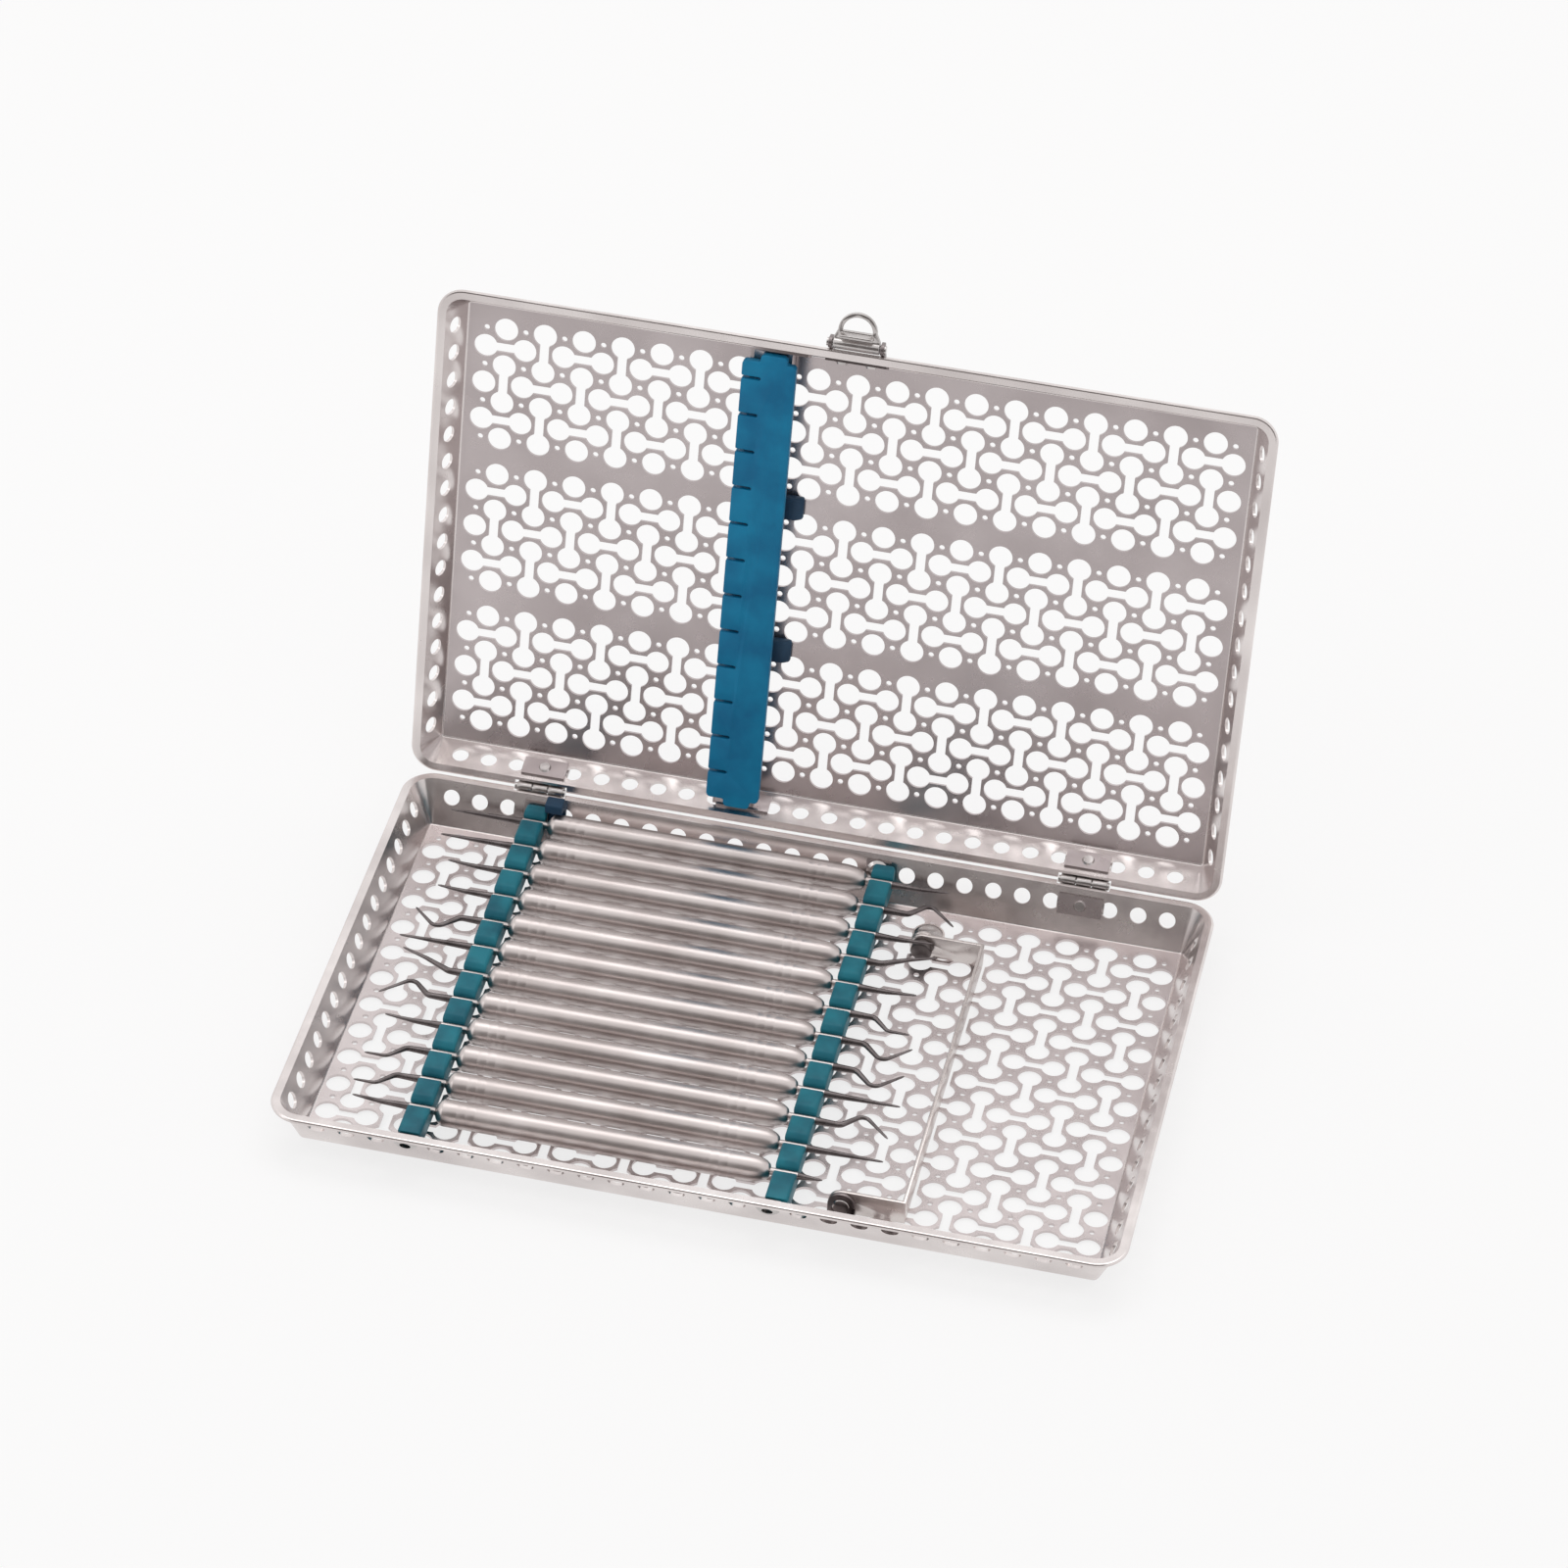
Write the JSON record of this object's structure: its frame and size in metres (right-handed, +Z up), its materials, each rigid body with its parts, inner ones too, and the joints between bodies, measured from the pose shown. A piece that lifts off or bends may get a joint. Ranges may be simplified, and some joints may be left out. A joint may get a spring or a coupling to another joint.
{
  "type": "dental instrument cassette",
  "caption": "Perforated steel case with hinged lid held open, silicone rails and hold-down strip, hand instruments, swinging retainer and loop latch.",
  "frame": {"origin": "middle of the underside of the base's floor, on the table", "axes": "+X to the right along the long side, +Y back to the hinge, +Z up"},
  "size_m": [0.28, 0.2281, 0.2031],
  "materials": {
    "sheet_steel": "pale electropolished stainless sheet",
    "bright_steel": "polished stainless steel",
    "dark_steel": "dark oxide-coloured steel",
    "instrument_steel": "satin stainless steel",
    "strip_silicone": "deep blue matt silicone rubber",
    "rail_silicone": "teal matt silicone rubber",
    "dark_silicone": "dark navy matt silicone rubber"
  },
  "bodies": {
    "base": {"base_floor": "sheet_steel", "base_walls": "sheet_steel", "base_hinge_left": "bright_steel", "base_hinge_right": "bright_steel", "hinge_pin_left": "bright_steel", "hinge_pin_right": "bright_steel", "base_hinge_backing": "sheet_steel", "base_hinge_rivets": "bright_steel", "rail_carrier_left": "sheet_steel", "rail_carrier_right": "sheet_steel", "rail_left": "rail_silicone", "rail_right": "rail_silicone", "rail_eyelets": "bright_steel", "rail_pull_tab": "dark_silicone", "retainer_bracket_front": "sheet_steel", "retainer_bracket_back": "sheet_steel", "retainer_rivet_front": "bright_steel", "retainer_knob_back": "dark_steel", "retainer_floor_rivet": "bright_steel", "instrument_01": "instrument_steel", "instrument_02": "instrument_steel", "instrument_03": "instrument_steel", "instrument_04": "instrument_steel", "instrument_05": "instrument_steel", "instrument_06": "instrument_steel", "instrument_07": "instrument_steel", "instrument_08": "instrument_steel", "instrument_09": "instrument_steel", "instrument_10": "instrument_steel", "instrument_11": "instrument_steel", "instrument_12": "instrument_steel"},
    "lid": {"lid_panel": "sheet_steel", "lid_walls": "sheet_steel", "lid_hinge_left": "bright_steel", "lid_hinge_right": "bright_steel", "lid_hinge_backing": "sheet_steel", "lid_rivets": "bright_steel", "strip_channel": "sheet_steel", "hold_down_strip": "strip_silicone", "strip_plugs": "dark_silicone", "latch_bracket": "sheet_steel", "latch_backing": "sheet_steel", "latch_pin": "bright_steel"},
    "latch": {"latch_lever": "bright_steel"},
    "retainer": {"retainer_bail": "sheet_steel"}
  },
  "joints": [
    {"name": "lid_hinge", "type": "hinge", "parent": "base", "child": "lid", "pos_m": [0, 0.089, 0.0162], "axis": [1, 0, 0], "range_deg": [0, 103]},
    {"name": "latch_hinge", "type": "hinge", "parent": "lid", "child": "latch", "pos_m": [0, 0.13053, 0.19165], "axis": [1, 0, 0], "range_deg": [0, 90]},
    {"name": "retainer_hinge", "type": "hinge", "parent": "base", "child": "retainer", "pos_m": [0.0462, 0, 0.0059], "axis": [0, -1, 0], "range_deg": [0, 90]}
  ]
}
